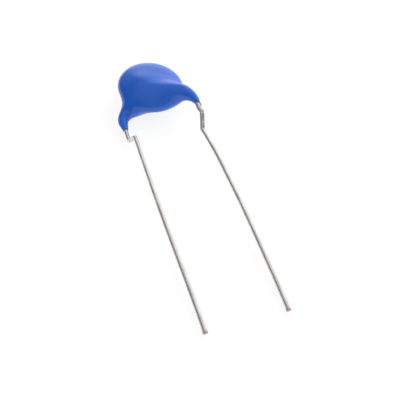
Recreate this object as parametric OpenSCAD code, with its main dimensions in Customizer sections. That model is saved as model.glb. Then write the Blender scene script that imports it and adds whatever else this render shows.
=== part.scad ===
// Ceramic disc capacitor with two kinked leads, lying on its back.
//
// The part is drawn upright in its own plane first: X runs from the left lead to the right one,
// Y from the lead tips up to the disc, and Z out of the front face, with the origin in the middle
// of the ceramic disc. lying_down() then lays it on the surface Z = 0, on its lead tips and on the
// crown of its back face. All sizes are in millimetres.

/* [Ceramic disc] */
// Diameter of the ceramic disc
ceramic_d = 6.6; // [5:0.1:12]
// Thickness of the ceramic disc
ceramic_t = 2.4; // [1:0.1:4]
// Chamfer round both edges of the ceramic disc
ceramic_chamfer = 0.2; // [0.05:0.05:0.4]

/* [Electrodes and solder] */
// Thickness of the silver film on each face
film_t = 0.05; // [0.02:0.01:0.1]
// Bare ceramic left round each silver film
film_margin = 0.45; // [0.3:0.05:1]
// Solder between the silver film and the wire
solder_under = 0.1; // [0.05:0.05:0.3]
// Diameter of each solder mound
solder_d = 2.6; // [1.6:0.1:2.8]
// Height of each solder mound above the silver film
solder_h = 0.6; // [0.4:0.05:0.8]
// Distance from a lead's inner end to the middle of its solder
solder_reach = 1.2; // [0.8:0.1:1.5]

/* [Coating] */
// Coating beyond the ceramic disc's rim
coat_rim = 1.7; // [1:0.1:3]
// Coating over the middle of the ceramic disc's faces, beside the leads
coat_face = 0.95; // [0.6:0.05:1.6]
// How full the disc's edge is: 2 is an ellipse, more is squarer
coat_fullness = 2.05; // [1.8:0.05:3]
// Reach over which the disc and the right leg run into each other
right_blend = 2.75; // [0.8:0.05:3.2]
// Reach over which the disc and the left leg run into each other
left_blend = 2.5; // [0.8:0.05:3.2]
// Coating round the wire where a leg leaves the disc
leg_coat = 0.55; // [0.3:0.05:0.9]
// Coating round the wire at the end of a leg
leg_end_coat = 0.1; // [0.05:0.01:0.25]
// Length over which a leg swells from its end to its full thickness
leg_taper = 3; // [1:0.1:4]
// Height over which the swelling round a lead fades again on the disc's face
leg_fade = 2.5; // [1.5:0.1:4]
// Coating round the left wire where that swelling has faded
left_inner_coat = 0.55; // [0.05:0.05:0.6]
// Coating round the right wire where that swelling has faded
right_inner_coat = 0.05; // [0.05:0.05:0.6]
// How far the left lead's faded swelling sinks into the disc's face
left_sink = 0; // [0:0.05:0.7]
// How far the right lead's faded swelling sinks into the disc's face
right_sink = 0.7; // [0:0.05:0.7]
// How far the legs' ends lie below the disc's rim
leg_drop = 1.35; // [0.8:0.05:4]

/* [Leads] */
// Diameter of the tinned wire
wire_d = 0.6; // [0.5:0.05:0.8]
// Distance between the two straight leads
lead_pitch = 10; // [9:0.5:12.5]
// Length of the left lead below its kink
left_len = 28.1; // [10:0.1:40]
// Length of the right lead below its kink
right_len = 28.5; // [10:0.1:40]
// Sideways offset of the point at which the right lead's two slopes would meet
right_bow = 0.7; // [0.2:0.1:1.5]
// Share of the right lead that is rounded into a bow
right_bow_share = 0.7; // [0.2:0.1:0.8]

/* [Shoulders and kinks] */
// Height of the left lead's shoulder above its leg's end
left_shoulder = 2.65; // [2.2:0.05:4]
// Height of the right lead's shoulder above its leg's end
right_shoulder = 2.05; // [1.5:0.05:3]
// Bend radius of the left lead's shoulder
left_shoulder_bend = 2.7; // [1:0.1:3]
// Bend radius of the right lead's shoulder
right_shoulder_bend = 4; // [1:0.1:4]
// How far the left leg stands outside its straight lead
left_spread = 0.55; // [0:0.05:1]
// How far the right leg stands outside its straight lead
right_spread = 0.2; // [0:0.05:1]
// How far the left lead's inner end reaches past the disc's middle
left_inner_reach = 0.5; // [0.3:0.05:1.5]
// How far the right lead's inner end reaches past the disc's middle
right_inner_reach = 1.4; // [0.3:0.05:1.5]
// How far the left lead's inner end lies below the disc's middle
left_inner_drop = 0.6; // [0:0.05:0.8]
// How far the right lead's inner end lies below the disc's middle
right_inner_drop = 0.65; // [0:0.05:0.8]
// Bare wire between a leg's end and its kink
kink_gap = 1.9; // [1.2:0.05:4]
// Length of a kink along the lead
kink_len = 1.3; // [1:0.05:3]
// Bend radius at both ends of a kink
kink_bend = 0.8; // [0.4:0.05:0.9]

/* [Hidden] */

stations = 84;       // cross-sections along the coating, from one leg's end to the other's
crotch_crowding = 6; // degrees by which they crowd toward where the legs leave the disc
around = 52;         // points round each cross-section
rim_crowding = 10;   // degrees by which those points crowd toward the disc's rim
halvings = 13;       // times the search for the coating's surface halves its step
round_fn = 48;       // facets of a circle
bend_steps = 8;      // facets along a bend
bend_swell = 0.006;  // the wire is a hair thicker round a bend
bend_lap = 0.03;     // how far a straight stretch runs on inside the bend after it
tiny = 0.000001;     // keeps a power of zero finite

wire_r = wire_d / 2;
film_r = ceramic_d / 2 - film_margin;
film_z = ceramic_t / 2 + film_t;                  // outer face of each silver film
wire_z = film_z + solder_under + wire_r;          // a lead's middle plane beside the disc
coat_r = ceramic_d / 2 + coat_rim;
coat_h = ceramic_t / 2 + coat_face;
leg_r = wire_r + leg_coat;
leg_end_r = wire_r + leg_end_coat;
leg_end_y = -coat_r - leg_drop;
kink_top_y = leg_end_y - kink_gap;
kink_end_y = kink_top_y - kink_len;

// A lead's route, front or back, from its inner end to its tip: [side, points, bend radius at each].
right_x = lead_pitch / 2 + right_spread;
left_x = -lead_pitch / 2 - left_spread;
right_tip_y = kink_end_y - right_len;
left_tip_y = kink_end_y - left_len;
RIGHT_POINTS = [
    [-right_inner_reach, -right_inner_drop, wire_z],
    [right_x, leg_end_y + right_shoulder, wire_z],
    [right_x, kink_top_y, wire_z],
    [lead_pitch / 2, kink_end_y, 0],
    [lead_pitch / 2 + right_bow, kink_end_y - right_len / 2, 0],
    [lead_pitch / 2, right_tip_y, 0]
];
RIGHT_BENDS = [0, right_shoulder_bend, kink_bend, kink_bend,
               right_bow_share * pow(right_len / 2, 2) / right_bow, 0];
LEFT_POINTS = [
    [left_inner_reach, -left_inner_drop, -wire_z],
    [left_x, leg_end_y + left_shoulder, -wire_z],
    [left_x, kink_top_y, -wire_z],
    [-lead_pitch / 2, kink_end_y, 0],
    [-lead_pitch / 2, left_tip_y, 0]
];
LEFT_BENDS = [0, left_shoulder_bend, kink_bend, kink_bend, 0];

// Numbers of the straight stretches on the disc's face and above the kink.
TO_SHOULDER = 0;
TO_KINK = 1;

function unit(v) = v / norm(v);
function clamp(x, low, high) = max(low, min(high, x));
function mix(a, b, share) = a + (b - a) * share;
function ease(x) = let (s = clamp(x, 0, 1)) s * s * (3 - 2 * s);

// ---- Wire: straight stretches and bends ----

// Half the turn that a route makes at its point i, in degrees.
function half_turn(route, i) =
    acos(clamp(unit(route[i] - route[i - 1]) * unit(route[i + 1] - route[i]), -1, 1)) / 2;

// Length that the bend at point i takes from the straight stretch on each side of it.
function bend_reach(route, bends, i) =
    bends[i] == 0 ? 0 : bends[i] * tan(half_turn(route, i));

function straight_len(route, bends, i) =
    norm(route[i + 1] - route[i]) - bend_reach(route, bends, i) - bend_reach(route, bends, i + 1);

// Draws the wire along +Z from stretch i on, up to stretch last. across is the direction in which
// the drawing's own X axis points on the route.
module wire_from(route, bends, i, last, across) {
    ahead = unit(route[i + 1] - route[i]);
    run = straight_len(route, bends, i);
    before = i > 0 ? bend_lap : 0;
    after = i < last ? bend_lap : 0;
    translate([0, 0, -before])
        cylinder(h = before + run + after, r = wire_r, $fn = round_fn);
    if (i < last) {
        next = unit(route[i + 2] - route[i + 1]);
        toward = unit(next - ahead * (next * ahead));
        roll = atan2(toward * cross(ahead, across), toward * across);
        turn = 2 * half_turn(route, i + 1);
        bend_r = bends[i + 1];
        translate([0, 0, run])
            rotate([0, 0, roll]) {
                translate([bend_r, 0, 0])
                    rotate([90, 0, 180])
                        rotate_extrude(angle = turn, $fn = ceil(360 / turn * bend_steps))
                            translate([bend_r, 0])
                                circle(r = wire_r + bend_swell, $fn = round_fn);
                translate([bend_r * (1 - cos(turn)), 0, bend_r * sin(turn)])
                    rotate([0, turn, 0])
                        wire_from(route, bends, i + 1, last, toward * cos(turn) - ahead * sin(turn));
            }
    }
}

// The wire from its inner end to the end of its straight stretch number last.
module wire(route, bends, last) {
    ahead = unit(route[1] - route[0]);
    polar = acos(ahead.z);
    azimuth = atan2(ahead.y, ahead.x);
    translate(route[0])
        rotate([0, polar, azimuth])
            wire_from(route, bends, 0, last,
                      [cos(polar) * cos(azimuth), cos(polar) * sin(azimuth), -sin(polar)]);
}

// ---- Coating: distance of a point from its surface, negative inside ----

function smooth_min(a, b, reach) =
    let (overlap = max(reach - abs(a - b), 0) / reach) min(a, b) - overlap * overlap * reach / 4;

function from_disc(p) =
    let (r = norm([p.x, p.y]) / coat_r + tiny,
         z = abs(p.z) / coat_h + tiny,
         f = pow(pow(r, coat_fullness) + pow(z, coat_fullness), 1 / coat_fullness),
         steep = coat_fullness - 1)
    (f - 1) / norm([pow(r / f, steep) / coat_r, pow(z / f, steep) / coat_h]);

function from_line(p, a, b) =
    let (d = b - a, share = clamp((p - a) * d / (d * d), 0, 1)) norm(p - a - share * d);

// What from_leg() needs of a lead: the ends of its two straight stretches, its shoulder's arc,
// and the size and sinking of the swelling where it has faded.
function flat(p) = [p.x, p.y];
function leg(route, bends, inner_coat, sink) =
    let (inner = flat(route[0]), corner = flat(route[1]), foot = flat(route[2]),
         to_inner = unit(inner - corner), to_foot = unit(foot - corner),
         half = acos(to_inner * to_foot) / 2,
         reach = bends[1] / tan(half),
         middle = corner + unit(to_inner + to_foot) * bends[1] / sin(half))
    [inner, corner + to_inner * reach, corner + to_foot * reach, foot,
     middle, -unit(to_inner + to_foot), sin(half), bends[1], route[0].z,
     wire_r + inner_coat, sign(route[0].z) * sink];

// How far a point lies beside a lead, seen from the front.
function beside(p, g) =
    let (q = [p.x, p.y],
         out = q - g[4],
         on_arc = out * g[5] > norm(out) * g[6],
         straight = min(from_line(q, g[0], g[1]), from_line(q, g[2], g[3])))
    on_arc ? min(straight, abs(norm(out) - g[7])) : straight;

// 0 up to where a leg leaves the disc, 1 where its swelling has faded.
function faded(y) = ease((y - leg_end_y - leg_taper) / leg_fade);

function leg_thickness(y, inner_r) =
    mix(mix(leg_end_r, leg_r, sin(90 * clamp((y - leg_end_y) / leg_taper, 0, 1))),
        inner_r, faded(y));

function from_leg(p, g, sideways) =
    norm([sideways, p.z - g[8] + g[10] * faded(p.y)]) - leg_thickness(p.y, g[9]);

// The least coating that a wire keeps, whatever the disc's shape is.
function from_cover(p, g, sideways) = norm([sideways, p.z - g[8]]) - leg_end_r;

RIGHT_LEG = leg(RIGHT_POINTS, RIGHT_BENDS, right_inner_coat, right_sink);
LEFT_LEG = leg(LEFT_POINTS, LEFT_BENDS, left_inner_coat, left_sink);

function from_skin(p) =
    let (right = beside(p, RIGHT_LEG), left = beside(p, LEFT_LEG))
    min(smooth_min(smooth_min(from_disc(p), from_leg(p, RIGHT_LEG, right), right_blend),
                   from_leg(p, LEFT_LEG, left), left_blend),
        from_cover(p, RIGHT_LEG, right), from_cover(p, LEFT_LEG, left));

// The place between inside and inside + far where the surface is crossed.
function skin_point(inside, far, steps = halvings) =
    steps == 0 ? inside + far / 2
    : from_skin(inside + far / 2) < 0 ? skin_point(inside + far / 2, far / 2, steps - 1)
    : skin_point(inside, far / 2, steps - 1);

// ---- Coating: cross-sections in planes that fan out from a line below the disc ----

// Angle of cross-section i, from the right leg's end to the left one's.
function fan_angle(i) =
    let (even = 180 * i / (stations - 1)) even + crotch_crowding * sin(4 * even);

// 1 in the legs, 0 in the middle of the disc.
function leg_share(angle) = 1 - ease((min(angle, 180 - angle) - 18) / 50);

// Where a lead crosses the fan plane at this angle, measured from the fan's line.
function lead_crossing(angle, g) =
    let (dir = [cos(angle), sin(angle)],
         along = g[1] - g[0],
         down = [0, leg_end_y],
         on_slope = cross(g[0] - down, along) / cross(dir, along),
         on_leg = g[3].x / dir.x)
    min(on_leg, on_slope);

function fan_centre(angle) =
    let (right = angle < 90,
         share = leg_share(angle),
         g = right ? RIGHT_LEG : LEFT_LEG,
         out = mix(-leg_end_y * sin(angle), share > 0 ? lead_crossing(angle, g) : 0, share))
    [out * cos(angle), leg_end_y + out * sin(angle), g[8] * share];

// One cross-section: rays from its centre, closer together where it is long and thin.
function fan_section(angle) =
    let (centre = fan_centre(angle),
         share = leg_share(angle),
         half_chord = sqrt(max(0, coat_r * coat_r - pow(leg_end_y * cos(angle), 2))),
         wide = leg_r + half_chord,
         tall = leg_r + (coat_h - leg_r + wire_r) * (1 - share),
         dir = [cos(angle), sin(angle), 0])
    [for (k = [0:around - 1])
        let (even = 360 * k / around,
             a = even - rim_crowding * (1 - share) * sin(2 * even),
             ray = unit(dir * wide * cos(a) + [0, 0, tall * sin(a)]))
        skin_point(centre, ray * (wide + tall + leg_r))];

module coating_body() {
    sections = [for (i = [0:stations - 1]) fan_section(fan_angle(i))];
    last = (stations - 1) * around;
    sides = [for (i = [0:stations - 2], k = [0:around - 1])
        let (next = (k + 1) % around,
             a = i * around + k, b = i * around + next,
             c = a + around, d = b + around)
        each [[a, b, d], [a, d, c]]];
    first_end = [for (k = [around - 1:-1:0]) k];
    last_end = [for (k = [0:around - 1]) last + k];
    polyhedron(points = [for (s = sections) each s],
               faces = concat(sides, [first_end, last_end]));
}

// ---- The part at rest ----

// Height of the coating's back face under the point x, y.
function back_depth(x, y) = -skin_point([x, y, 0], [0, 0, -3 * coat_h]).z;

// Steepest line from the lower edge of a lead's tip to the crown of the back face.
crown = [for (x = [-4.5:0.5:1.5], y = [-4.5:0.5:1]) [x, y]];
tip_y = min(left_tip_y, right_tip_y);
rest_tilt = max([for (q = crown) atan2(back_depth(q.x, q.y) - wire_r, q.y - tip_y)]);
rest_height = wire_r * cos(rest_tilt) - tip_y * sin(rest_tilt);
rest_middle = (coat_r + tip_y) / 2 * cos(rest_tilt);

module lying_down() {
    translate([0, -rest_middle, rest_height])
        rotate([rest_tilt, 0, 0])
            children();
}

// ---- Pieces, in the disc's own plane ----

module ceramic_shape() {
    r = ceramic_d / 2;
    h = ceramic_t / 2;
    c = ceramic_chamfer;
    rotate_extrude($fn = round_fn)
        polygon([[0, -h], [r - c, -h], [r, -h + c], [r, h - c], [r - c, h], [0, h]]);
}

// The silver film on the front face, side = 1, or on the back face, side = -1.
module film_shape(side) {
    translate([0, 0, side * (film_z - film_t / 2)])
        cylinder(h = film_t, r = film_r, center = true, $fn = round_fn);
}

// A low round mound of solder over the inner end of a lead, on the front or the back face.
module mound_shape(route) {
    side = sign(route[0].z);
    mound_r = (pow(solder_d / 2, 2) + pow(solder_h, 2)) / (2 * solder_h);
    middle = route[0] + unit(route[1] - route[0]) * solder_reach;
    translate([middle.x, middle.y, side * film_z])
        intersection() {
            translate([0, 0, side * (solder_h - mound_r)])
                sphere(r = mound_r, $fn = round_fn);
            translate([0, 0, side * solder_h])
                cube([solder_d * 2, solder_d * 2, solder_h * 2], center = true);
        }
}

module inner_pieces() {
    ceramic_shape();
    film_shape(1);
    film_shape(-1);
    mound_shape(RIGHT_POINTS);
    mound_shape(LEFT_POINTS);
    wire(RIGHT_POINTS, RIGHT_BENDS, TO_KINK);
    wire(LEFT_POINTS, LEFT_BENDS, TO_KINK);
}

// ---- Nodes ----

module coating() {
    color("royalblue")
        lying_down()
            difference() {
                coating_body();
                inner_pieces();
            }
}

module ceramic_disc() {
    color("tan")
        lying_down()
            ceramic_shape();
}

module electrode_front() {
    color("gainsboro")
        lying_down()
            film_shape(1);
}

module electrode_back() {
    color("gainsboro")
        lying_down()
            film_shape(-1);
}

module lead_left() {
    color("silver")
        lying_down()
            wire(LEFT_POINTS, LEFT_BENDS, len(LEFT_POINTS) - 2);
}

module lead_right() {
    color("silver")
        lying_down()
            wire(RIGHT_POINTS, RIGHT_BENDS, len(RIGHT_POINTS) - 2);
}

module solder_left() {
    color("lightgray")
        lying_down()
            difference() {
                mound_shape(LEFT_POINTS);
                wire(LEFT_POINTS, LEFT_BENDS, TO_SHOULDER);
            }
}

module solder_right() {
    color("lightgray")
        lying_down()
            difference() {
                mound_shape(RIGHT_POINTS);
                wire(RIGHT_POINTS, RIGHT_BENDS, TO_SHOULDER);
            }
}

coating();
ceramic_disc();
electrode_front();
electrode_back();
lead_left();
lead_right();
solder_left();
solder_right();
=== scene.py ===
# %% [markdown]
# # Ceramic disc capacitor
# A small blue disc capacitor lies on a white table. Its epoxy skin was dipped, so the skin has one
# soft closed form: a lens over the ceramic disc, and two legs where it ran down the lead wires.
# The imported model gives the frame. Every shape here is worked out in millimetres, in the disc's own
# plane, and is then laid down on the table in metres.

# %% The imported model
import math

import bpy
from mathutils import Euler, Matrix, Vector


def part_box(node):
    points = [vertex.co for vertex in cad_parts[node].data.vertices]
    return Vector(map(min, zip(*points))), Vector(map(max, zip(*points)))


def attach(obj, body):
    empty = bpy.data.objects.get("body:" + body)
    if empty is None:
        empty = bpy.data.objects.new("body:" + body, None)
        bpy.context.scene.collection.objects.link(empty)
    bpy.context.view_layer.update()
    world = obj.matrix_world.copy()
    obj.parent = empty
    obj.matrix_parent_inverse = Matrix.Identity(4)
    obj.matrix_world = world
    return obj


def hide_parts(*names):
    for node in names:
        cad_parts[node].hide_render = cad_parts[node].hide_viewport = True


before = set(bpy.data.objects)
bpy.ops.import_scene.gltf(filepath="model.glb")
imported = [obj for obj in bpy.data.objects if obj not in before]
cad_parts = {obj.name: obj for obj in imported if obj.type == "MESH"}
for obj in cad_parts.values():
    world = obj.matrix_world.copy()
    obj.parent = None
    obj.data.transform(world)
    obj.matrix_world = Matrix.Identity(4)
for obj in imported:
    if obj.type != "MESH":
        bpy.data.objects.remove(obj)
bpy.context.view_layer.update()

MM = 0.001   # the scene itself is in metres

print("packed nodes:", ", ".join(sorted(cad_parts)))

# %% [markdown]
# ## Camera
# The camera comes first, because everything else is judged through it. It looks down on the part
# from the left of the lead tips, a little tilted, as a hand-held camera is. A constraint could aim
# it at the disc, but wouldn't say how it was tilted, so it is written as a point, the turns of its
# frame, and a lens.

# %% Camera
CAMERA_PLACE = Vector((-15.769, -34.421, 43.403)) * MM
CAMERA_TURN = Euler([math.radians(turn) for turn in (38.073, -6.619, -20.338)])
LENS, SENSOR = 37.571, 36        # in millimetres, as on a real camera
NEAREST, FURTHEST = 0.001, 10    # the reach of its view, in metres

camera_data = bpy.data.cameras.new("camera")
camera_data.lens = LENS
camera_data.sensor_width = SENSOR
camera_data.clip_start = NEAREST
camera_data.clip_end = FURTHEST
camera = bpy.data.objects.new("camera", camera_data)
camera.matrix_world = Matrix.LocRotScale(CAMERA_PLACE, CAMERA_TURN, None)
bpy.context.scene.collection.objects.link(camera)
bpy.context.scene.camera = camera
print("camera height in mm:", round(CAMERA_PLACE.z / MM, 1))

# %% [markdown]
# ## Nodes written as sums
# Both shapes and finishes are built from nodes, and most of them are plain arithmetic. Each node
# could be made and linked by hand, but then the sum gets lost among its links. A socket that can
# stand in a Python sum keeps it readable: each operation adds one Math node. All other nodes come
# from one method, which takes the node's type, its settings and its sockets' values.

# %% A socket that can stand in a sum
def adds_node(operation, others_first=False):
    """A method for a Python operator, which adds one Math node."""
    def method(term, other):
        return term.math(operation, other, others_first=others_first)
    return method


class Term:
    """A node's output that can stand in a Python sum."""

    def __init__(self, bench, socket):
        self.bench = bench
        self.socket = socket

    def out(self, name):
        """Another output of the same node."""
        return Term(self.bench, self.socket.node.outputs[name])

    def math(self, operation, *others, others_first=False):
        """A Math node on this term and the others."""
        values = (*others, self) if others_first else (self, *others)
        return self.bench.node("ShaderNodeMath", {"operation": operation}, *values)

    __add__ = __radd__ = adds_node("ADD")
    __mul__ = __rmul__ = adds_node("MULTIPLY")
    __sub__ = adds_node("SUBTRACT")
    __rsub__ = adds_node("SUBTRACT", others_first=True)
    __truediv__ = adds_node("DIVIDE")
    __rtruediv__ = adds_node("DIVIDE", others_first=True)
    __pow__ = adds_node("POWER")
    __rpow__ = adds_node("POWER", others_first=True)
    __lt__ = adds_node("LESS_THAN")
    __gt__ = adds_node("GREATER_THAN")

    def __neg__(self):
        return self * -1

    def __abs__(self):
        return self.math("ABSOLUTE")


# %% One method for every other node
class Bench:
    """A node tree, and the ways to add nodes to it."""

    def __init__(self, tree):
        self.tree = tree

    def feed(self, socket, value):
        """Links a term to a socket, or writes a plain value on it."""
        if isinstance(value, Term):
            self.tree.links.new(value.socket, socket)
        elif value is not None:
            socket.default_value = value

    def node(self, kind, settings=None, *values, out=0, **named):
        """A node of this type, fed with values in its sockets' order and then by their names."""
        made = self.tree.nodes.new(kind)
        for name, value in (settings or {}).items():
            setattr(made, name, value)
        for socket, value in zip(made.inputs, values):
            self.feed(socket, value)
        for name, value in named.items():
            self.feed(made.inputs[name.replace("_", " ")], value)
        return Term(self, made.outputs[out]) if made.outputs else None

    def vector(self, x, y, z):
        """A vector from its three parts."""
        return self.node("ShaderNodeCombineXYZ", None, x, y, z)

    def parts(self, vector):
        """The three parts of a vector."""
        split = self.node("ShaderNodeSeparateXYZ", None, vector)
        return split.out("X"), split.out("Y"), split.out("Z")

    def vectors(self, operation, *values, out=0, **named):
        """A Vector Math node."""
        return self.node("ShaderNodeVectorMath", {"operation": operation}, *values, out=out, **named)

    def noise(self, place, scale, detail=2.0, rough=0.5):
        """Soft noise round 0.5, with features of about 1 / scale millimetres."""
        made = self.node("ShaderNodeTexNoise", {"noise_dimensions": "3D"}, Vector=place,
                         Scale=scale, Detail=detail, Roughness=rough)
        return made.out("Fac")


# %% Functions for the sums
def low(a, b):
    return a.math("MINIMUM", b)


def high(a, b):
    return a.math("MAXIMUM", b)


def sin(a):
    return a.math("SINE")


def cos(a):
    return a.math("COSINE")


def root(a):
    return a.math("SQRT")


def length(*parts):
    """The length of a vector, from its parts."""
    return root(sum((part * part for part in parts[1:]), parts[0] * parts[0]))


def mix(a, b, share):
    """A number between a and b."""
    return a + (b - a) * share


def limit(a, least=0, most=1):
    """A number kept within its limits."""
    return low(high(a, least), most)


def ease(a):
    """A share from 0 to 1 that starts and ends softly."""
    share = limit(a)
    return share * share * (3 - 2 * share)


def rise(a, start, over):
    """A share that is 0 up to start and climbs softly to 1 over the next stretch."""
    return ease((a - start) / over)


def fall(a, end, over):
    """A share that drops softly from 1 to 0 over the stretch before end."""
    return ease((end - a) / over)

# %% [markdown]
# ## The object's own sizes
# X runs from the left lead to the right one, Y from the lead tips up to the disc, and Z out of the
# front face. The origin is the middle of the ceramic disc. A lead's route is a list of corners, each
# with the radius of its bend. Below its kink a lead wavers a little, as hand-straightened wire does,
# with bends so wide that they hardly show, and its tip is a touch in front of the middle plane.

# %% Sizes in millimetres
WIRE_R = 0.3
WIRE_Z = 1.65            # from the disc's middle plane to a lead's middle, above the kink
DISC_R, DISC_HALF = 5.0, 2.15
DISC_FULLNESS = 2.05     # 2 makes an ellipse, more is squarer
RIGHT_BLEND, LEFT_BLEND = 2.75, 2.5     # reach over which the disc and a leg run into each other
LEG_R, LEG_END_R, LEG_TAPER = 0.85, 0.4, 3.0
LEG_FADE = 2.5           # height over which the swelling round a lead fades on the disc
RIGHT_INNER_R, RIGHT_SINK = 0.35, 0.7   # the right swelling there, and how far it sinks
LEFT_INNER_R, LEFT_SINK = 0.85, 0.0
LEG_END_Y = -6.35
RIGHT_KINK, LEFT_KINK = (-8.25, -10.05), (-8.6, -9.35)   # where each kink starts and ends
LEFT_TIP_Y, RIGHT_TIP_Y = -37.9, -38.35
TIP_LIFT = 0.05          # of a lead's tip, out of the disc's middle plane

RIGHT_ROUTE = [(-1.4, -0.65, WIRE_Z), (5.2, -4.3, WIRE_Z), (5.2, RIGHT_KINK[0], WIRE_Z),
               (4.86, RIGHT_KINK[1], 0), (5.26, -14.5, 0), (5.39, -23.5, 0), (5.18, -34.2, 0),
               (4.98, RIGHT_TIP_Y, TIP_LIFT)]
RIGHT_BENDS = [0, 4, 0.8, 0.6, 60, 150, 90, 0]
LEFT_ROUTE = [(0.5, -0.6, -WIRE_Z), (-5.55, -3.7, -WIRE_Z), (-5.58, LEFT_KINK[0], -WIRE_Z),
              (-4.98, LEFT_KINK[1], 0), (-5.07, -19, 0), (-5.06, -24, 0), (-4.905, -34.5, 0),
              (-4.93, LEFT_TIP_Y, TIP_LIFT)]
LEFT_BENDS = [0, 2.7, 0.5, 0.5, 90, 90, 90, 0]
print("leads in mm, from disc middle to tip:", -LEFT_TIP_Y, -RIGHT_TIP_Y)

# %% How the finished part lies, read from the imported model
def middle_of(node_name):
    """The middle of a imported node, in metres."""
    lowest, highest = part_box(node_name)
    return (lowest + highest) / 2


out_of_face = middle_of("electrode_front") - middle_of("electrode_back")
rest_tilt = math.atan2(-out_of_face.y, out_of_face.z)
LYING = (Matrix.Translation(middle_of("ceramic_disc"))
         @ Matrix.Rotation(rest_tilt, 4, "X") @ Matrix.Scale(MM, 4))
print("the disc lies tilted by", round(math.degrees(rest_tilt), 3), "degrees")

# %% [markdown]
# ## Running a tree
# Both main forms follow rules: the skin a distance rule, the wires a route. Geometry nodes suit
# that, because each size is a named input that can be tried by hand. A piece has to leave as a plain
# mesh, so a tree runs once on a carrier object, and what comes out is copied and laid down.

# %% The start of a tree
def new_tree(name, **sizes):
    """A bench on a geometry tree with one named input for each size, and its input node."""
    tree = bpy.data.node_groups.new(name, "GeometryNodeTree")
    face = tree.interface
    face.new_socket("Geometry", in_out="INPUT", socket_type="NodeSocketGeometry")
    face.new_socket("Geometry", in_out="OUTPUT", socket_type="NodeSocketGeometry")
    for key, size in sizes.items():
        kind = ("NodeSocketMaterial" if size is None else
                "NodeSocketInt" if isinstance(size, int) else "NodeSocketFloat")
        socket = face.new_socket(key.replace("_", " "), in_out="INPUT", socket_type=kind)
        if size is not None:
            socket.default_value = size
    bench = Bench(tree)
    return bench, bench.node("NodeGroupInput")


def store(bench, geometry, kind="FLOAT", **named):
    """The geometry with these named attributes on its points."""
    for name, value in named.items():
        geometry = bench.node("GeometryNodeStoreNamedAttribute", {"data_type": kind}, geometry,
                              Name=name, Value=value)
    return geometry


def stored(bench, name, kind="FLOAT"):
    """A named attribute, read back."""
    return bench.node("GeometryNodeInputNamedAttribute", {"data_type": kind}, name)


# %% The end of a tree, and its run
def end_tree(bench, size, geometry):
    """Smooth shading, plain geometry and the material, as the last nodes of a tree."""
    geometry = bench.node("GeometryNodeSetShadeSmooth", None, geometry)
    geometry = bench.node("GeometryNodeRealizeInstances", None, geometry)
    geometry = bench.node("GeometryNodeSetMaterial", None, geometry, Material=size.out("Material"))
    bench.node("NodeGroupOutput", None, geometry)
    print(bench.tree.name, "takes", len(bench.tree.nodes), "nodes")


def run_tree(bench, name, base_mesh, **inputs):
    """Runs a tree on a mesh with its named inputs set, and lays the plain result on the table."""
    carrier = bpy.data.objects.new(name, base_mesh)
    bpy.context.scene.collection.objects.link(carrier)
    modifier = carrier.modifiers.new(name, "NODES")
    modifier.node_group = bench.tree
    for item in bench.tree.interface.items_tree:
        key = item.name.replace(" ", "_")
        if key in inputs:
            modifier[item.identifier] = inputs.pop(key)
    assert not inputs, f"{name} has no input named {sorted(inputs)}"
    graph = bpy.context.evaluated_depsgraph_get()
    mesh = bpy.data.meshes.new_from_object(carrier.evaluated_get(graph))
    bpy.data.objects.remove(carrier)
    mesh.transform(LYING)
    mesh.name = name
    piece = bpy.data.objects.new(name, mesh)
    bpy.context.scene.collection.objects.link(piece)
    print(name, "has", len(mesh.vertices), "points and", len(mesh.polygons), "faces")
    return piece

# %% [markdown]
# ## Finishes
# Every finish is worked out from the piece's own coordinates in millimetres, so that a speck of
# pigment or a drawing line has its real size. Painted textures could show the same, but they need a
# map of each surface and blur up close. What is the same all over a surface is a plain number on the
# shader, and only what changes over it comes through nodes.

# %% A new finish, and its end
def clear_bench(owner):
    """An empty bench for a material or a world."""
    owner.use_nodes = True
    owner.node_tree.nodes.clear()
    return Bench(owner.node_tree)


def new_finish(name):
    """A material with an empty bench, and its pattern coordinates in millimetres."""
    material = bpy.data.materials.new(name)
    bench = clear_bench(material)
    coords = bench.node("ShaderNodeTexCoord").out("Object")
    return material, bench, bench.vectors("SCALE", coords, Scale=1 / MM)


def end_finish(material, bench, **sockets):
    """The shader with these sockets, joined to the material's output."""
    shader = bench.node("ShaderNodeBsdfPrincipled", None, **sockets)
    bench.node("ShaderNodeOutputMaterial", None, shader)
    print(material.name, "takes", len(bench.tree.nodes), "nodes")


# %% Helpers that the finishes share
MIX_COLOURS_IN, MIX_COLOUR_OUT = (6, 7), 2   # a Mix node has sockets of each kind, these for colours


def attribute(bench, name):
    """A share that a piece's own tree stored on its points."""
    return bench.node("ShaderNodeAttribute", {"attribute_name": name}).out("Fac")


def stretched(bench, place, stretch):
    """Coordinates that make a pattern longer along an axis where stretch is small."""
    return bench.vectors("MULTIPLY", place, stretch)


def steeper(a, slope, less):
    """A stronger contrast: the value times slope, less this, kept from 0 to 1."""
    return limit(a * slope - less)


def between(bench, share, a, b, most=1):
    """A colour from a to b as share goes from 0 to 1; most is how far it gets."""
    share = share if most == 1 else share * most
    blend = bench.node("ShaderNodeMix", {"data_type": "RGBA"}, share, out=MIX_COLOUR_OUT)
    for socket, colour in zip(MIX_COLOURS_IN, (a, b)):
        bench.feed(blend.socket.node.inputs[socket],
                   colour if isinstance(colour, Term) else (*colour, 1))
    return blend


def bump(bench, height, depth, under=None):
    """A Bump node for a height of 0 to 1 that stands for depth millimetres, on one under it."""
    return bench.node("ShaderNodeBump", None, Strength=1.0, Distance=depth * MM, Height=height,
                      Normal=under)
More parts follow.
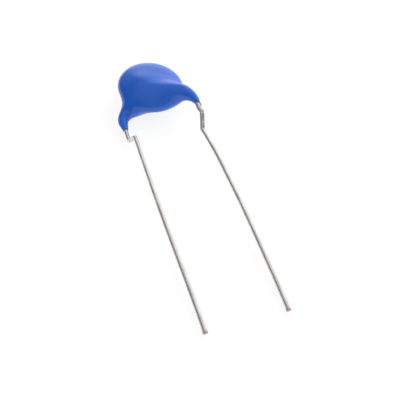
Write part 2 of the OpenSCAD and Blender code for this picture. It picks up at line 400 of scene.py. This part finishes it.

# %% [markdown]
# ### Blue epoxy
# The skin is a pigmented epoxy that was dipped and baked: a deep, slightly uneven blue with a soft
# gloss. The unevenness comes from the pigment, which floats a little in broad clouds, and from fine
# grains, and baking leaves a faint orange peel. The film is darker where it runs out on the wires.
# A lighter blue along the disc's rim between the legs, and faintly on the legs, is painted light from
# the white table below. The skin's tree says where, in two attributes. A clear coat could give the
# gloss, but isn't needed, because the gloss is the resin's own.

# %% Blue epoxy
CLOUD_DEEP, CLOUD_PALE = (0.0035, 0.079, 0.430), (0.0050, 0.090, 0.465)
GRAIN_BLUE, PAINTED_TABLE_LIGHT_BLUE = (0.010, 0.115, 0.53), (0.0055, 0.155, 0.830)
THIN_BLUE = (0.004, 0.052, 0.30)

blue_epoxy, bench, place = new_finish("blue_epoxy")
clouds = bench.noise(place, scale=0.55, detail=3.0, rough=0.55)
grains = bench.noise(place, scale=11.0)
peel = bench.noise(place, scale=2.6, detail=1.0)
gloss_drift = bench.noise(place, scale=1.3)
thin = attribute(bench, "thin")
colour = between(bench, steeper(clouds, slope=1.6, less=0.3), CLOUD_DEEP, CLOUD_PALE)
colour = between(bench, steeper(grains, slope=1.4, less=0.7), colour, GRAIN_BLUE, most=0.35)
# Painted light: a lighter blue where the table below would light the lower rim and the legs.
colour = between(bench, attribute(bench, "drained"), colour, PAINTED_TABLE_LIGHT_BLUE)
colour = between(bench, thin, colour, THIN_BLUE, most=0.55)
peel_normal = bump(bench, peel, depth=0.010)
end_finish(blue_epoxy, bench, Base_Color=colour, IOR=1.55,
           Roughness=0.12 + gloss_drift * 0.10 + thin * 0.1,
           Normal=bump(bench, grains, depth=0.001, under=peel_normal))

# %% [markdown]
# ### Tinned wire
# The leads are copper wire with a dull tin plating. Drawing leaves fine lines along the wire, the tin
# has small darker patches, the forming tool scuffs the kinks, and the shears leave rosy copper at
# the tips. Noise that is stretched along the wire gives the lines. The wires' tree marks the scuffs
# and the cut in the attributes pressed and bare, because only it knows where they are.

# %% Tinned wire
TIN_DARK, TIN_LIGHT = (0.70, 0.655, 0.64), (0.92, 0.88, 0.865)
LINE_GREY, SCRATCH_GREY = (0.58, 0.54, 0.53), (0.50, 0.465, 0.455)
CUT_COPPER = (0.60, 0.47, 0.45)

tin_plating, bench, place = new_finish("tin_plating")
pressed = attribute(bench, "pressed")
bare = attribute(bench, "bare")
lines = bench.noise(stretched(bench, place, (2.2, 0.12, 2.2)), scale=5.0, detail=3.0, rough=0.6)
patches = bench.noise(stretched(bench, place, (1.5, 0.45, 1.5)), scale=1.4, detail=3.0, rough=0.6)
scratches = bench.noise(place, scale=7.0, detail=4.0, rough=0.7)
colour = between(bench, steeper(patches, slope=3.0, less=1.1), TIN_DARK, TIN_LIGHT)
colour = between(bench, steeper(lines, slope=2.5, less=1.0), colour, LINE_GREY, most=0.4)
colour = between(bench, pressed * steeper(scratches, slope=3.0, less=1.0), colour, SCRATCH_GREY,
                 most=0.75)
colour = between(bench, bare * steeper(scratches, slope=1.5, less=-0.1), colour, CUT_COPPER)
scratch_normal = bump(bench, scratches * (0.25 + pressed), depth=0.016)
end_finish(tin_plating, bench, Base_Color=colour, Metallic=1.0,
           Roughness=0.30 + patches * 0.12 + pressed * (scratches - 0.4) * 0.3 + bare * 0.15,
           Normal=bump(bench, lines, depth=0.004, under=scratch_normal))

# %% [markdown]
# ### Ceramic, silver and solder
# These pieces sit inside the skin and show only where somebody cuts the part open or hides the skin,
# so their shapes stay as they are packed. They still get true finishes: a fired, faintly speckled
# tan ceramic, screen-printed silver with its dull grain, and solder that froze with a soft ripple.
# One main noise for each drives its colour, gloss and bump together, so that they agree.

# %% Fired ceramic
CERAMIC_DARK, CERAMIC_LIGHT = (0.46, 0.34, 0.22), (0.58, 0.45, 0.31)
SPECK_BROWN = (0.24, 0.17, 0.11)

fired_ceramic, bench, place = new_finish("fired_ceramic")
specks = bench.noise(place, scale=6.0, detail=3.0)
colour = between(bench, bench.noise(place, scale=0.8), CERAMIC_DARK, CERAMIC_LIGHT)
colour = between(bench, steeper(specks, slope=5, less=3), colour, SPECK_BROWN)
end_finish(fired_ceramic, bench, Base_Color=colour, Roughness=0.6 + specks * 0.2,
           Normal=bump(bench, specks, depth=0.01))

# %% Silver film and solder
SILVER_DULL, SILVER_BRIGHT = (0.58, 0.57, 0.55), (0.80, 0.79, 0.76)
SOLDER_DULL, SOLDER_BRIGHT = (0.50, 0.50, 0.51), (0.72, 0.72, 0.73)

fired_silver, bench, place = new_finish("fired_silver")
film_grain = bench.noise(place, scale=9.0)
end_finish(fired_silver, bench, Metallic=1.0, Roughness=0.42 + film_grain * 0.15,
           Base_Color=between(bench, film_grain, SILVER_DULL, SILVER_BRIGHT),
           Normal=bump(bench, film_grain, depth=0.006))

soft_solder, bench, place = new_finish("soft_solder")
ripple = bench.noise(place, scale=1.8)
end_finish(soft_solder, bench, Metallic=1.0, Roughness=0.25 + ripple * 0.2,
           Base_Color=between(bench, ripple, SOLDER_DULL, SOLDER_BRIGHT),
           Normal=bump(bench, ripple, depth=0.03))

# %% Finishes on the inner pieces
INNER_FINISHES = {"ceramic_disc": fired_ceramic, "electrode_front": fired_silver,
                  "electrode_back": fired_silver, "solder_left": soft_solder,
                  "solder_right": soft_solder}
for node_name, finish in INNER_FINISHES.items():
    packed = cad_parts[node_name].data
    packed.materials.clear()
    packed.materials.append(finish)
print("inner pieces with their own finish:", len(INNER_FINISHES))

# %% [markdown]
# ## The epoxy skin
# The real skin is what surface tension leaves: wherever two parts come near each other, the liquid
# fills the corner between them. A sculpted mesh could copy that by eye, but a distance rule says it
# well. It gives a lens-shaped disc and two tapering legs round the wires, and a smooth minimum runs
# them into one another. The tree wraps a grid round this rule: each row is one slice through the
# part, the slices fan out from a line between the two legs, and each point halves its way along a
# ray until it finds the surface.

# %% The disc's rule, and how two forms run into each other
TINY = 1e-6   # keeps a power and a division away from 0


def smooth_low(a, b, reach):
    """The lower of two distances, less up to a quarter of reach where they are nearly equal."""
    overlap = high(reach - abs(a - b), 0) / reach
    return low(a, b) - overlap * overlap * reach * 0.25


def from_disc(x, y, z, radius, half, fullness):
    """About how far a point is outside the lens: its excess over 1, divided by its slope."""
    r = length(x, y) / radius + TINY
    h = abs(z) / half + TINY
    far = (r ** fullness + h ** fullness) ** (1 / fullness)
    return (far - 1) / length((r / far) ** (fullness - 1) / radius,
                              (h / far) ** (fullness - 1) / half)


# %% A leg's rule
def from_line(x, y, a, b):
    """How far a point is from the stretch between a and b, seen from the front."""
    dx, dy = b[0] - a[0], b[1] - a[1]
    share = limit(((x - a[0]) * dx + (y - a[1]) * dy) / (dx * dx + dy * dy))
    return length(x - a[0] - share * dx, y - a[1] - share * dy)


def leg_facts(route, bends):
    """The ends of a lead's two straight stretches in the skin, and its shoulder's arc."""
    inner, corner, foot = (Vector(point[:2]) for point in route[:3])
    to_inner, to_foot = (inner - corner).normalized(), (foot - corner).normalized()
    half = to_inner.angle(to_foot) / 2
    reach = bends[1] / math.tan(half)
    bisector = (to_inner + to_foot).normalized()
    return {"inner": inner, "arc_start": corner + to_inner * reach,
            "arc_end": corner + to_foot * reach, "foot": foot,
            "middle": corner + bisector * bends[1] / math.sin(half), "out": -bisector,
            "spread": math.sin(half), "bend": bends[1], "z": route[0][2]}


def from_leg(x, y, z, leg, leg_r, leg_end_r, inner_r, sink):
    """How far a point is outside a leg, which tapers below and sinks into the disc above."""
    out_x, out_y = x - leg["middle"].x, y - leg["middle"].y
    far = length(out_x, out_y)
    on_arc = (out_x * leg["out"].x + out_y * leg["out"].y) > far * leg["spread"]
    straight = low(from_line(x, y, leg["inner"], leg["arc_start"]),
                   from_line(x, y, leg["arc_end"], leg["foot"]))
    sideways = mix(straight, low(straight, abs(far - leg["bend"])), on_arc)
    swell = sin(limit((y - LEG_END_Y) / LEG_TAPER) * (math.pi / 2))
    faded = rise(y, start=LEG_END_Y + LEG_TAPER, over=LEG_FADE)
    sunk = z - leg["z"] + sink * faded * math.copysign(1, leg["z"])
    return length(sideways, sunk) - mix(mix(leg_end_r, leg_r, swell), inner_r, faded)


LEGS = {"Right": leg_facts(RIGHT_ROUTE, RIGHT_BENDS), "Left": leg_facts(LEFT_ROUTE, LEFT_BENDS)}
print("shoulders end at y =", [round(leg["arc_end"].y, 2) for leg in LEGS.values()])

# %% The skin's tree and its sizes
bench, size = new_tree(
    "dipped_skin", Rows=260, Points_Round=168, Lip_Rows=5, Disc_Radius=DISC_R,
    Disc_Half_Thickness=DISC_HALF, Disc_Fullness=DISC_FULLNESS, Right_Blend=RIGHT_BLEND,
    Left_Blend=LEFT_BLEND, Leg_Radius=LEG_R, Leg_End_Radius=LEG_END_R,
    Right_Inner_Radius=RIGHT_INNER_R, Right_Sink=RIGHT_SINK, Left_Inner_Radius=LEFT_INNER_R,
    Left_Sink=LEFT_SINK, Lip_Length=0.16, Run_Length=0.85, Unevenness=0.03, Seed=3.0, Material=None)


def skin_rule(size, x, y, z):
    """How far a point is outside the whole skin."""
    so_far = from_disc(x, y, z, size.out("Disc Radius"), size.out("Disc Half Thickness"),
                       size.out("Disc Fullness"))
    for side in ("Right", "Left"):
        leg = from_leg(x, y, z, LEGS[side], size.out("Leg Radius"), size.out("Leg End Radius"),
                       size.out(side + " Inner Radius"), size.out(side + " Sink"))
        so_far = smooth_low(so_far, leg, size.out(side + " Blend"))
    return so_far


# %% The grid: one row for each slice, and a few more past each end for the lips
ROW_CROWDING = math.radians(6)   # draws the rows together where the legs run into the disc

rows_in_all = size.out("Rows") + 2 * (size.out("Lip Rows") + 1)
grid = bench.node("GeometryNodeMeshGrid", None, Size_X=1.0, Size_Y=1.0, Vertices_X=rows_in_all,
                  Vertices_Y=size.out("Points Round") + 1)
along, across, _ = bench.parts(bench.node("GeometryNodeInputPosition"))
row = (along + 0.5) * (rows_in_all - 1) - size.out("Lip Rows") - 1
even = limit(row / (size.out("Rows") - 1)) * math.pi
angle = even + ROW_CROWDING * sin(4 * even)
past_end = high(-row, row - size.out("Rows") + 1)

# %% Where each slice has its middle
LEG_SLICES, CHANGE_OVER = 18, 50   # degrees: so far up, slices centre on a leg, then on the disc

on_right = angle < math.pi / 2
degrees_up = low(angle, math.pi - angle) * (180 / math.pi)
in_leg = 1 - rise(degrees_up, start=LEG_SLICES, over=CHANGE_OVER)
slope_x, slope_y = cos(angle), sin(angle)


def lead_crossing(leg):
    """Where the lead crosses the slice, measured from the line that the slices share."""
    ahead = leg["arc_start"] - leg["inner"]
    down = leg["inner"] - Vector((0, LEG_END_Y))
    on_slope = (down.x * ahead.y - down.y * ahead.x) / (slope_x * ahead.y - slope_y * ahead.x)
    return low(leg["foot"].x / slope_x, on_slope)


crossing = mix(lead_crossing(LEGS["Left"]), lead_crossing(LEGS["Right"]), on_right)
middle_out = mix(-LEG_END_Y * slope_y, crossing, in_leg)
middle = bench.vector(middle_out * slope_x, LEG_END_Y + middle_out * slope_y,
                      mix(LEGS["Left"]["z"], LEGS["Right"]["z"], on_right) * in_leg)

# %% Which way the rays of a slice go
POINT_CROWDING = math.radians(10)   # draws the points together at the disc's rim

half_chord = root(high(size.out("Disc Radius") ** 2 - (LEG_END_Y * slope_x) ** 2, 0))
wide = size.out("Leg Radius") + half_chord
tall = size.out("Leg Radius") + (size.out("Disc Half Thickness") - LEG_R + WIRE_R) * (1 - in_leg)
even_turn = (across + 0.5) * (2 * math.pi)
turn = even_turn - POINT_CROWDING * (1 - in_leg) * sin(2 * even_turn)
ray_wide, ray_tall = wide * cos(turn), tall * sin(turn)
ray_long = length(ray_wide, ray_tall)
ray = bench.vector(slope_x * ray_wide / ray_long, slope_y * ray_wide / ray_long,
                   ray_tall / ray_long)

# %% Halving along the rays
HALVINGS = 17   # leaves less than a ten-thousandth of a millimetre in doubt

prepared = store(bench, grid, "FLOAT_VECTOR", middle=middle, ray=ray)
prepared = store(bench, prepared, turn=turn, past_end=past_end, on_right=on_right,
                 reach=wide + tall + size.out("Leg Radius"), found=0.0)
loop_start = bench.tree.nodes.new("GeometryNodeRepeatInput")
loop_end = bench.tree.nodes.new("GeometryNodeRepeatOutput")
loop_start.pair_with_output(loop_end)
loop_start.inputs["Iterations"].default_value = HALVINGS
bench.feed(loop_start.inputs["Geometry"], prepared)
inside_loop = Term(bench, loop_start.outputs["Geometry"])
step = stored(bench, "reach") * 0.5 ** (inside_loop.out("Iteration") + 1)
middle_parts = bench.parts(stored(bench, "middle", "FLOAT_VECTOR"))
ray_parts = bench.parts(stored(bench, "ray", "FLOAT_VECTOR"))
trial = stored(bench, "found") + step
still_inside = skin_rule(size, *(m + r * trial for m, r in zip(middle_parts, ray_parts))) < 0
bench.feed(loop_end.inputs["Geometry"],
           store(bench, inside_loop, found=stored(bench, "found") + step * still_inside))
found = Term(bench, loop_end.outputs["Geometry"])
print("the rule, its rays and the halving take", len(bench.tree.nodes), "nodes")

# %% [markdown]
# The last rows past each leg's end make the lip: the epoxy pulls in to the wire there, at an uneven
# height, and on the right lead a thin tongue of it ran further down. A flat cut would be simpler,
# but no dipped skin ends so. One more row is drawn together to a point inside the wire, which closes
# the skin.

# %% Lips round the wires
FRAY_WAVES = 1.3                   # how lively the edge is, going round the wire
LIP_LEAST, LIP_FRAY = 0.4, 1.2     # shares of the lip's length: always there, and left to noise
TONGUE_TURN = math.radians(28)     # the side of the wire that the tongue runs down
TONGUE_EDGE = 0.72                 # the cosine of half its width
LIP_END = 0.93                     # share of the wire's radius where the lip ends, just inside it
POLE_DROP = 0.5                    # share of the lip's length where the last row meets
MERGE_WITHIN = 0.0008              # in mm, closes the grid's seam and its two ends

rows_past, turn_here = stored(bench, "past_end"), stored(bench, "turn")
right_side = stored(bench, "on_right")
lip = limit(rows_past / size.out("Lip Rows"))
on_lip = lip > 0
at_pole = rows_past > (size.out("Lip Rows") + 0.5)
round_turn = bench.vector(cos(turn_here) * FRAY_WAVES, sin(turn_here) * FRAY_WAVES,
                          size.out("Seed") + right_side)
frayed = bench.noise(round_turn, scale=1.0)
tongue = rise(cos(turn_here - TONGUE_TURN), start=TONGUE_EDGE, over=1 - TONGUE_EDGE)
run = right_side * tongue * size.out("Run Length")
drop = sin(lip * (math.pi / 2)) * (size.out("Lip Length") * (LIP_LEAST + LIP_FRAY * frayed) + run)
drop = mix(drop, size.out("Lip Length") * POLE_DROP, at_pole)
narrow = mix(1, WIRE_R * LIP_END / LEG_END_R, 1 - cos(lip * (math.pi / 2))) * (1 - at_pole)

# %% The closed skin
x, y, z = (m + r * stored(bench, "found") for m, r in zip(middle_parts, ray_parts))
wire_x = mix(LEGS["Left"]["foot"].x, LEGS["Right"]["foot"].x, right_side)
wire_z = mix(LEGS["Left"]["z"], LEGS["Right"]["z"], right_side)
x = mix(x, wire_x + (x - wire_x) * narrow, on_lip)
z = mix(z, wire_z + (z - wire_z) * narrow, on_lip)
placed = bench.node("GeometryNodeSetPosition", None, found,
                    Position=bench.vector(x, y - drop * on_lip, z))
placed = bench.node("GeometryNodeMergeByDistance", None, placed, Distance=MERGE_WITHIN)

# %% [markdown]
# A dipped surface is never quite true, so broad, shallow waves go over it, and calm down towards the
# legs' ends. The tree also stores where the film is thin on the wires, and where painted light from
# the table below lightens the rim and the legs. Both could be painted by hand, but slopes that are
# written in millimetres can be read and changed.

# %% Unevenness
here = bench.node("GeometryNodeInputPosition")
here_x, here_y, here_z = bench.parts(here)
waves = bench.noise(here, scale=0.42, detail=1.0)
calm = limit((here_y - LEG_END_Y) / LEG_TAPER)
lift = (waves - 0.5) * 2 * size.out("Unevenness") * calm
uneven = bench.node("GeometryNodeSetPosition", None, placed, Offset=bench.vectors(
    "SCALE", bench.node("GeometryNodeInputNormal"), Scale=lift))

# %% Thin places, painted light from the table, and the finished skin
# The lighter band on the lower rim and the legs is painted light, standing for light from the table
# below.
FRONT_TO_RIGHT = 0.2   # how far the band on the rim leans to the front, going right
PAINTED_TABLE_LIGHT_ON_LEGS = 0.17

thin = 1 - rise(here_y, start=LEG_END_Y - 0.15, over=0.5)
on_rim = (rise(length(here_x, here_y), start=DISC_R - 0.7, over=0.5)
          * fall(here_z - here_x * FRONT_TO_RIGHT, end=0.1, over=0.5))
between_legs = (fall(here_y, end=-1.8, over=1.4) * rise(here_x, start=-4.8, over=0.9)
                * fall(here_x, end=5.1, over=1.1))
stronger_right = 0.75 + 0.25 * limit(here_x / 3)
on_legs = fall(here_y, end=-4, over=2) * PAINTED_TABLE_LIGHT_ON_LEGS
drained = high(on_rim * between_legs * stronger_right, on_legs)
end_tree(bench, size, store(bench, uneven, thin=thin, drained=drained))
epoxy_skin = run_tree(bench, "epoxy_skin", bpy.data.meshes.new("blank"), Material=blue_epoxy)

# %% [markdown]
# ## The leads
# Each lead is one round wire that a forming tool bent. A row of joined cylinders would break at the
# bends, so the wire is a curve that follows the route: its corners become a mesh of points with the
# bend radius on each, a fillet rounds them, and a small circle runs along. The tool also pressed the
# wire flatter where it set the kink and left dents there, tin gathered below the legs, most of it on
# the right lead, and the shears left a slight flare with a rounded edge at the tip. The tree shapes
# its rings for all that.

# %% The route as points with their bends
WIDE_BEND, STEPS_OF_WIDE, STEPS = 20, 48, 24   # a bend wider than this gets more steps


def route_mesh(name, route, bends):
    """A chain of points, with each bend's radius and number of steps on them."""
    mesh = bpy.data.meshes.new(name)
    mesh.from_pydata([Vector(point) for point in route],
                     [(i, i + 1) for i in range(len(route) - 1)], [])
    radius = mesh.attributes.new("bend", "FLOAT", "POINT")
    steps = mesh.attributes.new("steps", "INT", "POINT")
    for i, bend in enumerate(bends):
        radius.data[i].value = bend
        steps.data[i].value = 0 if bend == 0 else STEPS_OF_WIDE if bend > WIDE_BEND else STEPS
    return mesh


# %% The wire's tree: a line along the route
bench, size = new_tree("formed_wire", Wire_Radius=WIRE_R, Points_Round=40, Ring_Spacing=0.06,
                       Tip_Rounding=0.13, Tip_Flare=0.12, Kink_Top=RIGHT_KINK[0],
                       Kink_End=RIGHT_KINK[1], Press=0.22, Press_Widening=0.16, Sleeve=0.08,
                       Scuffing=1.0, Jaw_Depth=1.0, Tinning=0.010, Seed=1.0, Material=None)
line = bench.node("GeometryNodeMeshToCurve", None, size)
line = bench.node("GeometryNodeFilletCurve", {"mode": "POLY"}, line,
                  Count=stored(bench, "steps", "INT"), Radius=stored(bench, "bend"))
line = bench.node("GeometryNodeResampleCurve", {"mode": "LENGTH"}, line,
                  Length=size.out("Ring Spacing"))
to_end = (bench.node("GeometryNodeSplineLength").out("Length")
          - bench.node("GeometryNodeSplineParameter").out("Length"))
ahead = bench.node("GeometryNodeInputTangent")
line = store(bench, line, "FLOAT_VECTOR", ahead=ahead)

# %% The tip: its last rings slide together and narrow, so that its edge is round
TIP_RINGS = 6
TIP_FACE = 0.6                       # share of the wire's radius on the very end
FLARE_FROM, FLARE_OVER = 0.48, 0.4   # in mm above the end, where the shears squeezed it wider
BARE_LENGTH = 0.5                    # in mm, where the cut left copper

count = bench.node("GeometryNodeAttributeDomainSize", {"component": "CURVE"}, line)
from_tip = count.out("Point Count") - 1 - bench.node("GeometryNodeInputIndex")
in_tip = from_tip < TIP_RINGS - 0.5
tip_turn = limit(from_tip / (TIP_RINGS - 1)) * (math.pi / 2)
slide = (to_end - size.out("Tip Rounding") * (1 - cos(tip_turn))) * in_tip
flared = 1 + size.out("Tip Flare") * fall(to_end, end=FLARE_FROM, over=FLARE_OVER)
narrowed = mix(1, TIP_FACE + (1 - TIP_FACE) * sin(tip_turn), in_tip)
line = store(bench, line, ring_scale=narrowed * flared,
             bare=limit(high(1 - to_end / BARE_LENGTH, in_tip)))
line = bench.node("GeometryNodeSetPosition", None, line,
                  Offset=bench.vectors("SCALE", ahead, Scale=slide))
line = store(bench, line, "FLOAT_VECTOR", middle=bench.node("GeometryNodeInputPosition"))

# %% Rings along the line
profile = bench.node("GeometryNodeCurvePrimitiveCircle", None, size.out("Points Round"),
                     Radius=size.out("Wire Radius"))
rings = bench.node("GeometryNodeCurveToMesh", None, line, profile,
                   Scale=stored(bench, "ring_scale"), Fill_Caps=True)
here = bench.node("GeometryNodeInputPosition")
ring_middle = stored(bench, "middle", "FLOAT_VECTOR")
out_of_middle = bench.vectors("SUBTRACT", here, ring_middle)
_, ring_y, _ = bench.parts(ring_middle)

# %% Kinks that the tool pressed flatter and wider
SIDEWAYS = (1.0, 0.0, 0.0)

pressed = (rise(ring_y, start=size.out("Kink End") - 0.30, over=0.32)
           * fall(ring_y, end=size.out("Kink Top") + 0.34, over=0.36))
flat_way = bench.vectors("NORMALIZE", bench.vectors(
    "CROSS_PRODUCT", stored(bench, "ahead", "FLOAT_VECTOR"), SIDEWAYS))
side_part = bench.vectors("DOT_PRODUCT", out_of_middle, SIDEWAYS, out="Value")
flat_part = bench.vectors("DOT_PRODUCT", out_of_middle, flat_way, out="Value")
face = size.out("Wire Radius") * (1 - size.out("Press") * pressed)
squeezed = limit(flat_part, -face, face) - flat_part
widened = side_part * pressed * size.out("Press Widening")

# %% Uneven tin, and the sleeve of it between the leg and the kink
TIN_HIGHEST = 0.75   # about the most that this noise reaches, where the wire has its full size

tin = bench.noise(bench.vectors("ADD", here, bench.vector(size.out("Seed"), 0.0, 0.0)), scale=1.1)
thickened = bench.vectors("SCALE", out_of_middle,
                          Scale=(tin - TIN_HIGHEST) * size.out("Tinning") / WIRE_R)
sleeve = (rise(ring_y, start=size.out("Kink Top") - 0.1, over=0.7)
          * fall(ring_y, end=LEG_END_Y + 0.5, over=0.3))
left_side = limit(-side_part / WIRE_R)
bulge = left_side * sleeve * size.out("Sleeve") * (0.5 + tin)

# %% Marks of the tool's jaws
# Each mark has its place up the kink and aside, then its height, width and depth, all in mm.
JAW_MARKS = ((0.30, 0.05, 0.30, 0.25, 0.17), (0.80, 0.06, 0.11, 0.27, 0.10),
             (1.30, 0.08, 0.42, 0.10, 0.07), (1.86, 0.0, 0.16, 0.32, 0.12))
from_end = ring_y - size.out("Kink End")


def jaw_mark(up, aside, height, width, depth):
    """A shallow round dent in the kink's upper face."""
    away = length((from_end - up) / height, (side_part - aside) / width)
    return (1 - ease(away)) * depth * (flat_part > 0)


marks = sum(jaw_mark(*mark) for mark in JAW_MARKS) * pressed * size.out("Jaw Depth")
print("jaw marks on a kink:", len(JAW_MARKS))

# %% The finished wire
offset = bench.vectors("ADD", thickened, bench.vector(widened - bulge, 0.0, 0.0))
offset = bench.vectors("ADD", offset, bench.vectors("SCALE", flat_way, Scale=squeezed - marks))
shaped = bench.node("GeometryNodeSetPosition", None, rings, Offset=offset)
scuffed = high(pressed, sleeve * 0.5) * size.out("Scuffing")
end_tree(bench, size, store(bench, shaped, pressed=scuffed))

# %% Both leads
left_wire = run_tree(bench, "left_wire", route_mesh("left_route", LEFT_ROUTE, LEFT_BENDS),
                     Kink_Top=LEFT_KINK[0], Kink_End=LEFT_KINK[1], Sleeve=0.02, Scuffing=0.2,
                     Jaw_Depth=0.4, Seed=4.0, Material=tin_plating)
right_wire = run_tree(bench, "right_wire", route_mesh("right_route", RIGHT_ROUTE, RIGHT_BENDS),
                      Kink_Top=RIGHT_KINK[0], Kink_End=RIGHT_KINK[1], Sleeve=0.18, Scuffing=1.0,
                      Jaw_Depth=1.3, Seed=9.0, Material=tin_plating)

# %% [markdown]
# ## Riding and replacing
# Nothing on a capacitor moves, so all pieces ride on the one body. The skin and both leads stand for
# the imported solids of the same form, which stay in the scene, hidden.

# %% Riding and replacing
for piece, node_name, slot_name in ((epoxy_skin, "coating", "epoxy"),
                                    (left_wire, "lead_left", "tinned_wire"),
                                    (right_wire, "lead_right", "tinned_wire")):
    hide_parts(node_name)
    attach(piece, "root")
    print(piece.name, "stands for", node_name)

# %% [markdown]
# ## Table
# The part lies on a plain white table. More light would burn it white, but would burn the part too.
# So camera and mirror rays see it as white by its own glow, with a small share left to the light,
# and the render keeps a faint shadow and no horizon.

# %% White table
HALF_TABLE = 0.6
TABLE_WHITE, TABLE_GLOW = 0.92, 0.86   # its colour, and the share that glows for those rays

table_mesh = bpy.data.meshes.new("table")
table_mesh.from_pydata([(-HALF_TABLE, -HALF_TABLE, 0), (HALF_TABLE, -HALF_TABLE, 0),
                        (HALF_TABLE, HALF_TABLE, 0), (-HALF_TABLE, HALF_TABLE, 0)], [],
                       [(0, 1, 2, 3)])
table = bpy.data.objects.new("table", table_mesh)
bpy.context.scene.collection.objects.link(table)

white_table = bpy.data.materials.new("white_table")
bench = clear_bench(white_table)
light_path = bench.node("ShaderNodeLightPath")
seen = limit(light_path.out("Is Camera Ray") + light_path.out("Is Glossy Ray")
             + light_path.out("Is Transmission Ray"))
matt = bench.node("ShaderNodeBsdfDiffuse", None, (TABLE_WHITE, TABLE_WHITE, TABLE_WHITE, 1))
glow = bench.node("ShaderNodeEmission", None, (1, 1, 1, 1), 1.0)
surface = bench.node("ShaderNodeMixShader", None, seen * TABLE_GLOW, matt, glow)
bench.node("ShaderNodeOutputMaterial", None, surface)
table_mesh.materials.append(white_table)
print("table is", 2 * HALF_TABLE, "m across")

# %% [markdown]
# ## Light
# A white room gives even light from all round. What the gloss mirrors matters as much: a bright
# side behind the part and to its right, a little light from above, and a dim side in front that
# darkens to the left. The faces that look at the camera then stay deep blue, and what looks away
# shines. Real panels could be set up round the part for this, but a room that answers mirror rays
# differently takes no light away. One large soft lamp stands on the bright side, out of the gloss.

# %% The room
PURE_WHITE = (1, 1, 1)
ROOM_WHITE = (0.92, 0.92, 0.92)
BRIGHT_SIDE = (1.2, 1.2, 1.2)
DIM_SIDE, DARK_LEFT = (0.38, 0.38, 0.38), (0.13, 0.13, 0.13)
LIT_WAY = Vector((0.727, 0.655, 0.208)).normalized()
LIGHT_ABOVE = 0.3   # share of the bright side's level that stands overhead

world = bpy.data.worlds.new("white_room")
bpy.context.scene.world = world
bench = clear_bench(world)
way = bench.node("ShaderNodeTexCoord").out("Generated")
to_right, _, upward = bench.parts(way)
toward = bench.vectors("DOT_PRODUCT", way, tuple(LIT_WAY), out="Value")
overhead = rise(upward, start=0.62, over=0.30) * LIGHT_ABOVE
bright = high(rise(toward, start=0.50, over=0.26), overhead)
dark = between(bench, fall(to_right, end=-0.2, over=0.6), DIM_SIDE, DARK_LEFT)
mirrored = between(bench, bright, dark, BRIGHT_SIDE)

# %% Which rays see what
light_path = bench.node("ShaderNodeLightPath")
seen = limit(light_path.out("Is Camera Ray") + light_path.out("Is Transmission Ray"))
room = between(bench, light_path.out("Is Glossy Ray"), ROOM_WHITE, mirrored)
room = between(bench, seen, room, PURE_WHITE)
background = bench.node("ShaderNodeBackground", None, room, 1.0)
bench.node("ShaderNodeOutputWorld", None, background)
print("the bright side lies towards", [round(part, 2) for part in LIT_WAY])

# %% One large soft lamp
LAMP_PLACE = Vector((0.337, 0.236, 0.183))   # in metres
LAMP_ACROSS, LAMP_WATTS = 0.50, 2.4

lamp_data = bpy.data.lights.new("soft_lamp", "AREA")
lamp_data.shape = "DISK"
lamp_data.size = LAMP_ACROSS
lamp_data.energy = LAMP_WATTS
lamp = bpy.data.objects.new("soft_lamp", lamp_data)
lamp.matrix_world = Matrix.LocRotScale(LAMP_PLACE, LAMP_PLACE.to_track_quat("Z", "Y"), None)
lamp.visible_glossy = False
bpy.context.scene.collection.objects.link(lamp)
bpy.context.scene.view_settings.view_transform = "Standard"
print("lamp at", [round(part / MM) for part in LAMP_PLACE], "mm")
